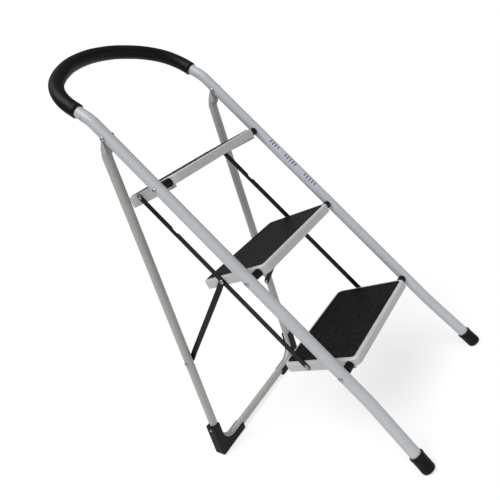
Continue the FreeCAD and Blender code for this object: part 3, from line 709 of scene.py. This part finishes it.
# ---- operators ----------------------------------------------------------------------
class STOOL_OT_stage(bpy.types.Operator):
    """Camera, soft studio light, white room and pale floor"""

    bl_idname = "stool.stage"
    bl_label = "Stage"

    def execute(self, context):
        stage = context.scene.stool_stage
        self.camera(context, stage)
        self.lights(context)
        self.floor(context)
        return {"FINISHED"}

    def camera(self, context, stage):
        bpy.ops.object.camera_add()
        camera = context.object
        camera.name = "stool_camera"
        camera.data.lens = stage.lens
        camera.data.sensor_width = 36.0
        camera.data.clip_start = 0.01
        ahead = Vector((
            math.sin(stage.heading) * math.cos(stage.tilt),
            math.cos(stage.heading) * math.cos(stage.tilt),
            math.sin(stage.tilt),
        ))
        level = Vector((math.cos(stage.heading), -math.sin(stage.heading), 0.0))
        above = level.cross(ahead)
        right = level * math.cos(stage.roll) + above * math.sin(stage.roll)
        up = right.cross(ahead)
        turn = Matrix((right, up, -ahead)).transposed().to_4x4()
        camera.matrix_world = Matrix.Translation(Vector(stage.eye)) @ turn
        context.scene.camera = camera

    def lights(self, context):
        self.sky(context)
        lamps = (
            ("key", (-0.95, -0.2, 2.0), 3.5, 40.0),
            ("fill", (0.9, -1.2, 1.4), 0.25, 60.0),
            ("rim", (0.2, 1.0, 1.6), 0.2, 50.0),
        )
        for name, place, power, softness in lamps:
            bpy.ops.object.light_add(type="SUN", location=place)
            lamp = context.object
            lamp.name = "stool_light_" + name
            lamp.data.energy = power
            lamp.data.angle = math.radians(softness)
            lamp.rotation_euler = (-Vector(place)).to_track_quat("-Z", "Y").to_euler()

    def sky(self, context):
        """A white room that lights the stool less than it shows."""
        world = context.scene.world or bpy.data.worlds.new("studio")
        context.scene.world = world
        room = Room(world)
        room.set(Color=(0.97, 0.985, 1.0), Strength=ROOM_LIGHT)
        seen = room.node("ShaderNodeBackground", None, {"Color": (1.0, 1.0, 1.0), "Strength": 1.0})
        shown = room.node("ShaderNodeLightPath", output="Is Camera Ray")
        felt = Sock(room, room.shader.outputs[0])
        both = room.node("ShaderNodeMixShader", None, {0: shown, 1: felt, 2: seen})
        room.put(room.tree.nodes["World Output"].inputs[0], both)
        context.scene.view_settings.view_transform = "Standard"

    def floor(self, context):
        bpy.ops.mesh.primitive_plane_add(size=FLOOR_SIZE, location=(0.0, 0.0, -FLOOR_DROP))
        floor = context.object
        floor.name = "studio_floor"
        floor.data.materials.append(studio_floor("stool_floor", tuple(context.scene.stool_colours.floor)))


class STOOL_OT_carried(bpy.types.Operator):
    """Finishes for the frame's own pieces that are shown as they are"""

    bl_idname = "stool.carried"
    bl_label = "Carried pieces"

    def execute(self, context):
        slots = {row["node"]: row["material_slot"] for row in frame["record"]["subparts"]}
        for node, piece in frame["nodes"].items():
            piece.data.materials.clear()
            piece.data.materials.append(finish(slots[node]))
        return {"FINISHED"}


class STOOL_OT_frames(bpy.types.Operator):
    """Bent tubes of the front frame and the support frame"""

    bl_idname = "stool.frames"
    bl_label = "Tube frames"

    def execute(self, context):
        self.front()
        self.support()
        return {"FINISHED"}

    def front(self):
        share = math.atan2(hoop_sink(), HALF_SPACING - CORNER_RADIUS)
        flare = FLARE_RADIUS * math.tan(FLARE_ANGLE / 2)
        tuck = BEND_RADIUS * math.tan((HOOP_LEAN - LEG_LEAN) / 2)
        foot, up = foot_axis(1)
        start = foot + up * TUBE_END
        knee = LOW_PIVOT - LEG_UP * FLARE_BELOW_PIVOT + X_WAY * HALF_SPACING
        shin = (knee - start).length - flare
        shaft = (HOOP_BEND - LOW_PIVOT).length + FLARE_BELOW_PIVOT - flare - tuck
        shoulder = HOOP_UP * math.cos(share) - X_WAY * math.sin(share)
        climb = [(shin,), (FLARE_RADIUS, LEG_UP), (shaft,), (BEND_RADIUS, HOOP_UP), (HOOP_STRAIGHT - tuck,)]
        crown = [(CORNER_RADIUS, shoulder), (CROWN_RADIUS, mirrored(shoulder) * -1)]
        crown += [(CORNER_RADIUS, HOOP_UP * -1), (HOOP_STRAIGHT - tuck,)]
        down = [(BEND_RADIUS, LEG_UP * -1), (shaft,), (FLARE_RADIUS, mirrored(up) * -1), (shin,)]
        piece = swept("front_frame_tube", TUBE_RADIUS, start, up, climb + crown + down)
        sideways = X_WAY.to_track_quat("Z", "Y").to_euler()
        for name, side in SIDES:
            hole = HOOP_BEND + HOOP_UP * DRAIN_ABOVE_BEND + X_WAY * (side * (HALF_SPACING + TUBE_RADIUS))
            bore(piece, hole, sideways, DRAIN_RADIUS, DRAIN_BIT, HOLE_SIDES)
        dress(piece, "frame_paint")
        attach(piece, "front_frame")
        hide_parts("front_tube")

    def support(self):
        hinge = PIVOTS["rear_frame_hinge"]
        lean = OPEN_ANGLE - LEG_LEAN
        down = Vector((0.0, math.sin(lean), -math.cos(lean)))
        back = Vector((0.0, math.cos(lean), math.sin(lean)))
        neck_lean = lean + NECK_ANGLE
        neck = Vector((0.0, math.sin(neck_lean), -math.cos(neck_lean)))
        top = hinge + back * FOLDED_OFFSET
        reach = (top.z - BAR_HEIGHT) / math.cos(lean)
        corner = top + down * reach + X_WAY * (HALF_SPACING + REAR_SPLAY)
        elbow = hinge + neck * (FOLDED_OFFSET / math.sin(NECK_ANGLE)) + X_WAY * HALF_SPACING
        leg = (corner - elbow).normalized()
        start = hinge + neck * (FORK_LENGTH - FORK_LAP) + X_WAY * HALF_SPACING
        nip = NECK_RADIUS * math.tan(neck.angle(leg) / 2)
        turn = REAR_CORNER_RADIUS * math.tan(leg.angle(X_WAY * -1) / 2)
        neck_run = (elbow - start).length - nip
        leg_run = (corner - elbow).length - nip - turn
        one_side = [(neck_run,), (NECK_RADIUS, leg), (leg_run,), (REAR_CORNER_RADIUS, X_WAY * -1)]
        other = [(REAR_CORNER_RADIUS, mirrored(leg) * -1), (leg_run,), (NECK_RADIUS, neck * -1), (neck_run,)]
        middle = [(2 * (HALF_SPACING + REAR_SPLAY - turn),)]
        piece = swept("support_frame_tube", REAR_RADIUS, start, neck, one_side + middle + other)
        for name, side in SIDES:
            clear_leg(piece, side, (FOLDED_LEAN,))
        self.own(piece, "rear_tube")
        blank = self.fork_blank()
        for name, side in SIDES:
            fork = copied(blank, name + "_fork")
            self.fit_fork(fork, side, neck)
            self.own(fork, name + "_hinge_fork")
        bpy.data.objects.remove(blank)

    def own(self, piece, node):
        """A support frame piece shown in place of a frame node."""
        edit(piece)
        close(piece)
        dress(piece, "support_paint")
        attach(piece, "rear_frame")
        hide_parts(node)

    def fork_blank(self):
        """A leg's neck widened towards a rounded eye, upright at the origin and without its slot."""
        tall = FORK_LENGTH + EYE_RADIUS
        begin()
        bpy.ops.mesh.primitive_cube_add(size=1.0, scale=(2 * FORK_HALF, 2 * EYE_RADIUS, tall))
        blank = bpy.context.object
        bpy.ops.object.transform_apply(location=True, rotation=True, scale=True)
        edit(blank)
        pick(blank, lambda vertex: vertex.co.z < 0, "VERT")
        foot = (FORK_FOOT / FORK_HALF, FORK_FOOT / EYE_RADIUS, 1.0)
        bpy.ops.transform.resize(value=foot, center_override=(0.0, 0.0, -tall / 2))
        pick(blank, lambda edge: abs(edge.verts[0].co.z - edge.verts[1].co.z) > tall / 2, "EDGE")
        bpy.ops.mesh.bevel(offset_type="PERCENT", offset_pct=FORK_CORNER_PERCENT, segments=7, affect="EDGES")

        def across_the_top(edge):
            on_top = all(vertex.co.z > tall / 2 - 1e-5 for vertex in edge.verts)
            level_edge = abs(edge.verts[0].co.y - edge.verts[1].co.y) < 1e-5
            return on_top and level_edge and edge.calc_length() > FORK_HALF

        pick(blank, across_the_top, "EDGE")
        bpy.ops.mesh.bevel(offset=EYE_ROUNDING, segments=5, affect="EDGES")
        bpy.ops.object.mode_set(mode="OBJECT")
        return blank

    def fit_fork(self, fork, side, neck):
        """Turns a fork onto its neck and cuts the slot for the front leg."""
        middle = PIVOTS["rear_frame_hinge"] + X_WAY * (side * HALF_SPACING)
        middle += neck * ((FORK_LENGTH - EYE_RADIUS) / 2)
        turn = (neck * -1).to_track_quat("Z", "X").to_matrix().to_4x4()
        fork.matrix_world = Matrix.Translation(middle) @ turn
        bpy.ops.object.transform_apply(location=True, rotation=True, scale=True)
        gap = (LEG_LEAN - FOLDED_LEAN) / (LEG_ROOM_CUTS - 1)
        clear_leg(fork, side, [FOLDED_LEAN + gap * cut for cut in range(LEG_ROOM_CUTS)])


class STOOL_OT_steel(bpy.types.Operator):
    """Pressed, formed and moulded parts with their facets joined"""

    bl_idname = "stool.steel"
    bl_label = "Pressed parts"

    def execute(self, context):
        nodes = [level + ending for ending in ("_step_pan", "_step_stiffener") for level in LEVELS]
        for name, side in SIDES:
            nodes += [name + ending for ending in ("_link_bar", "_strut_bar", "_rear_shoe")]
        slots = {row["node"]: row["material_slot"] for row in frame["record"]["subparts"]}
        for node in nodes:
            piece = soft_copy(node)
            dress(piece, slots[node])
            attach(piece, BODY_OF[node])
            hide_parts(node)
        return {"FINISHED"}


class STOOL_OT_grip(bpy.types.Operator):
    """Foam sleeve on the handrail, with soft ends and creases inside its bends"""

    bl_idname = "stool.grip"
    bl_label = "Foam grip"

    def execute(self, context):
        sizes = context.scene.stool_sizes
        outer = sizes.grip_diameter / 2
        inner = TUBE_RADIUS + GRIP_FIT
        path = hoop_path(sizes.grip_start, GRIP_STEP)
        mesh = bmesh.new()
        skin = []
        for point, inward, along, total, turn in path:
            ease = min(1.0, min(along, total - along) / GRIP_END_EASE)
            radius = outer - GRIP_END_ROUND * (1.0 - math.sqrt(1.0 - (1.0 - ease) ** 2))
            skin.append(self.ring(mesh, point, inward, radius, along, turn, sizes.grip_crease))
        lips = [self.ring(mesh, *path[end][:2], inner + GRIP_LIP) for end in (0, -1)]
        depth = GRIP_THROAT_RINGS
        throats = [self.ring(mesh, *path[end][:2], inner) for end in (depth, -depth)]
        lining = [self.ring(mesh, *stop[:2], inner) for stop in path[depth + 1:-depth - 1:4]]
        self.wall(mesh, [throats[0], lips[0]] + skin + [lips[1], throats[1]])
        self.wall(mesh, [throats[1]] + lining[::-1] + [throats[0]])
        data = bpy.data.meshes.new("grip_sleeve")
        mesh.to_mesh(data)
        mesh.free()
        piece = bpy.data.objects.new("grip_sleeve", data)
        context.collection.objects.link(piece)
        edit(piece)
        close(piece, 60.0)
        dress(piece, "grip_foam")
        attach(piece, "front_frame")
        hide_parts("foam_grip")
        return {"FINISHED"}

    def ring(self, mesh, point, inward, radius, along=0.0, turn=0.0, crease=0.0):
        """One ring of the sleeve, creased a little on the inside of a bend."""
        ring = []
        bent = math.sin(turn) ** 2 if 0.0 < turn < math.pi else 0.0
        for index in range(GRIP_SIDES):
            angle = math.tau * index / GRIP_SIDES
            inside = max(0.0, math.cos(angle)) ** 2
            drift = GRIP_DRIFT * math.sin(along * GRIP_DRIFT_RATE)
            wave = math.sin(along * GRIP_CREASE_RATE + drift) * crease * inside * bent
            soft = GRIP_SOFTNESS * math.sin(along * GRIP_SOFT_RATE + 3 * angle) * (1 if crease else 0)
            out = inward * math.cos(angle) + HOOP_BACK * math.sin(angle)
            ring.append(mesh.verts.new(point + out * (radius + wave + soft)))
        return ring

    def wall(self, mesh, rings):
        """Faces from each ring of the sleeve to the next."""
        for first, second in zip(rings, rings[1:]):
            for index in range(GRIP_SIDES):
                after = (index + 1) % GRIP_SIDES
                mesh.faces.new((first[index], first[after], second[after], second[index]))


class STOOL_OT_caps(bpy.types.Operator):
    """Moulded rubber caps on the front feet"""

    bl_idname = "stool.caps"
    bl_label = "Foot caps"

    def execute(self, context):
        pattern = turned("cap_pattern", self.profile(context.scene.stool_sizes), CAP_SIDES)
        for name, side in SIDES:
            piece = copied(pattern, name + "_cap")
            end, way = foot_axis(side)
            stand(piece, end, way)
            bpy.ops.mesh.select_all(action="SELECT")
            bpy.ops.mesh.bisect(plane_co=(0.0, 0.0, 0.0), plane_no=(0.0, 0.0, 1.0),
                                use_fill=True, clear_inner=True)
            close(piece, 28.0)
            dress(piece, "black_rubber")
            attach(piece, "front_frame")
            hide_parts(name + "_foot_cap")
        bpy.data.objects.remove(pattern)
        return {"FINISHED"}

    def profile(self, sizes):
        """Rings from the sole up the outside, over the collar and down the socket."""
        socket = TUBE_RADIUS + CAP_FIT
        floor = TUBE_END + CAP_FLOOR_GAP
        rings = [(0.0, CAP_CENTRE), (0.0, CAP_RADIUS - CAP_EDGE)]
        rings += rounded(CAP_EDGE, CAP_RADIUS - CAP_EDGE, CAP_EDGE, -80.0, 0.0, 8)
        sunk = CAP_RADIUS - CAP_GROOVE_DEPTH
        for groove in range(sizes.cap_grooves):
            low = CAP_GROOVE_START + groove * CAP_GROOVE_PITCH
            high = low + CAP_GROOVE_WIDTH
            rings += [(low, CAP_RADIUS), (low + CAP_GROOVE_SLOPE, sunk)]
            rings += [(high - CAP_GROOVE_SLOPE, sunk), (high, CAP_RADIUS)]
        collar = CAP_RADIUS + sizes.cap_collar
        shoulder = CAP_LENGTH - CAP_COLLAR_HEIGHT
        rings += [(shoulder - sizes.cap_collar, CAP_RADIUS), (shoulder, collar)]
        edge = CAP_COLLAR_EDGE
        rings += rounded(CAP_LENGTH - edge, collar - edge, edge, 0.0, 90.0, 4)
        rings += [(CAP_LENGTH, socket + CAP_MOUTH), (CAP_LENGTH - CAP_MOUTH, socket)]
        rings += [(floor, socket), (floor, CAP_CENTRE)]
        return rings


class STOOL_OT_spacers(bpy.types.Operator):
    """Ribbed plastic spacers between the front legs and the treads"""

    bl_idname = "stool.spacers"
    bl_label = "Spacers"

    def execute(self, context):
        sizes = context.scene.stool_sizes
        nodes = [name + "_" + level + "_spacer" for name, side in SIDES for level in LEVELS]
        low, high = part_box(nodes[0])
        pattern = self.sleeve(sizes, high[0] - low[0])
        for node in nodes:
            low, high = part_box(node)
            piece = copied(pattern, node + "_sleeve")
            stand(piece, Vector((low[0], (low[1] + high[1]) / 2, (low[2] + high[2]) / 2)), X_WAY)
            close(piece, 32.0)
            dress(piece, "black_fittings")
            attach(piece, "front_frame")
            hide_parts(node)
        bpy.data.objects.remove(pattern)
        return {"FINISHED"}

    def sleeve(self, sizes, span):
        """One ribbed sleeve, standing on the origin."""
        hole = PIN_RADIUS + PIN_FIT
        edge = SPACER_EDGE
        rings = [(0.0, hole), (0.0, SPACER_RADIUS - edge)]
        rings += rounded(edge, SPACER_RADIUS - edge, edge, -67.0, 0.0, 3)
        rings += [(SPACER_END, SPACER_RADIUS), (span - SPACER_END, SPACER_RADIUS)]
        rings += rounded(span - edge, SPACER_RADIUS - edge, edge, 0.0, 67.0, 3)
        rings += [(span, SPACER_RADIUS - edge), (span, hole)]
        piece = turned("spacer_pattern", rings, sizes.spacer_ribs * 4)
        self.ribs(piece, sizes, span)
        bpy.ops.object.mode_set(mode="OBJECT")
        return piece

    def ribs(self, piece, sizes, span):
        """Sinks pairs of the long side faces, so that ribs stand between them."""
        step = math.tau / (sizes.spacer_ribs * 4)

        def sunk(face):
            middle = centre(face)
            if abs(middle.z - span / 2) > 0.001 or abs(face.normal.z) > 0.1:
                return False
            return int(math.atan2(middle.y, middle.x) % math.tau / step) % 4 < 2

        pick(piece, sunk)
        bpy.ops.mesh.inset(thickness=SPACER_RIB_SLOPE, depth=-sizes.rib_depth, use_individual=False)


class STOOL_OT_mats(bpy.types.Operator):
    """Anti-slip mats: ribbed on the upper treads and pebbled on the lowest"""

    bl_idname = "stool.mats"
    bl_label = "Tread mats"

    def execute(self, context):
        for level in LEVELS:
            self.build(context.scene.stool_sizes, level)
        return {"FINISHED"}

    def build(self, sizes, level):
        low, high = (Vector(corner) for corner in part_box(level + "_step_mat"))
        begin()
        back = Vector((2 * sizes.mat_setback, 2 * sizes.mat_setback, 0.0))
        bpy.ops.mesh.primitive_cube_add(size=1.0, location=(low + high) / 2, scale=high - low - back)
        piece = bpy.context.object
        piece.name = level + "_mat"
        bpy.ops.object.transform_apply(location=True, rotation=True, scale=True)
        edit(piece)
        pick(piece, lambda edge: abs(edge.verts[0].co.z - edge.verts[1].co.z) > 1e-4, "EDGE")
        bpy.ops.mesh.bevel(offset=MAT_CORNER, segments=10, affect="EDGES")
        pick(piece, lambda face: face.normal.z > 0.9)
        bpy.ops.mesh.inset(thickness=MAT_RIM, depth=0.0)
        bpy.ops.mesh.inset(thickness=sizes.mat_border, depth=0.0)
        bpy.ops.mesh.inset(thickness=MAT_SLOPE, depth=-MAT_LIP)

        def outer_rim(edge):
            level_edge = all(vertex.co.z > high.z - 1e-5 for vertex in edge.verts)
            sides = [face for face in edge.link_faces if abs(face.normal.z) < 0.5]
            return level_edge and any(centre(face).z < high.z - MAT_LIP for face in sides)

        pick(piece, outer_rim, "EDGE")
        bpy.ops.mesh.bevel(offset=MAT_LIP, segments=2, affect="EDGES")
        close(piece, 30.0)
        dress(piece, "tread_rubber", None if level == "bottom" else upper_mat())
        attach(piece, level + "_step")
        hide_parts(level + "_step_mat")


class STOOL_OT_label(bpy.types.Operator):
    """Plain care label round the inside of the right front leg, with no lettering"""

    bl_idname = "stool.label"
    bl_label = "Label"

    def execute(self, context):
        sizes = context.scene.stool_sizes
        begin()
        bpy.ops.mesh.primitive_cylinder_add(vertices=LABEL_SEGMENTS, radius=TUBE_RADIUS + LABEL_LIFT,
                                            depth=sizes.label_length, end_fill_type="NOTHING")
        piece = bpy.context.object
        piece.name = "leg_label"
        edit(piece)
        half = sizes.label_angle / 2

        def outside(face):
            middle = centre(face)
            away = (math.atan2(middle.y, middle.x) - LABEL_FACING + math.pi) % math.tau - math.pi
            return abs(away) > half

        pick(piece, outside)
        bpy.ops.mesh.delete(type="FACE")
        bpy.ops.object.mode_set(mode="OBJECT")
        apply_modifier(piece, "SOLIDIFY", thickness=LABEL_FILM, offset=1.0)
        middle = LOW_PIVOT + LEG_UP * LABEL_ALONG + X_WAY * HALF_SPACING
        turn = Matrix((X_WAY, LEG_UP.cross(X_WAY), LEG_UP)).transposed()
        piece.matrix_world = Matrix.Translation(middle) @ turn.to_4x4()
        edit(piece)
        close(piece, 20.0)
        piece.data.materials.append(label_sheet("stool_label", middle))
        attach(piece, "front_frame")
        return {"FINISHED"}


class STOOL_PT_panel(bpy.types.Panel):
    """Lists the steps that build the stool"""

    bl_idname = "STOOL_PT_panel"
    bl_label = "Step Stool"
    bl_space_type = "VIEW_3D"
    bl_region_type = "UI"
    bl_category = "Step Stool"

    def draw(self, context):
        for step in BUILD_ORDER:
            self.layout.operator(step.bl_idname)


BUILD_ORDER = (
    STOOL_OT_carried,
    STOOL_OT_frames,
    STOOL_OT_steel,
    STOOL_OT_grip,
    STOOL_OT_caps,
    STOOL_OT_spacers,
    STOOL_OT_mats,
    STOOL_OT_label,
    STOOL_OT_stage,
)
CLASSES = (StoolColours, StoolSizes, StoolStage) + BUILD_ORDER + (STOOL_PT_panel,)


def register():
    for each in CLASSES:
        bpy.utils.register_class(each)
    bpy.types.Scene.stool_colours = PointerProperty(type=StoolColours)
    bpy.types.Scene.stool_sizes = PointerProperty(type=StoolSizes)
    bpy.types.Scene.stool_stage = PointerProperty(type=StoolStage)


def unregister():
    del bpy.types.Scene.stool_stage
    del bpy.types.Scene.stool_sizes
    del bpy.types.Scene.stool_colours
    for each in reversed(CLASSES):
        bpy.utils.unregister_class(each)


def main():
    register()
    for step in BUILD_ORDER:
        group, name = step.bl_idname.split(".")
        getattr(getattr(bpy.ops, group), name)()


if __name__ == "__main__":
    main()
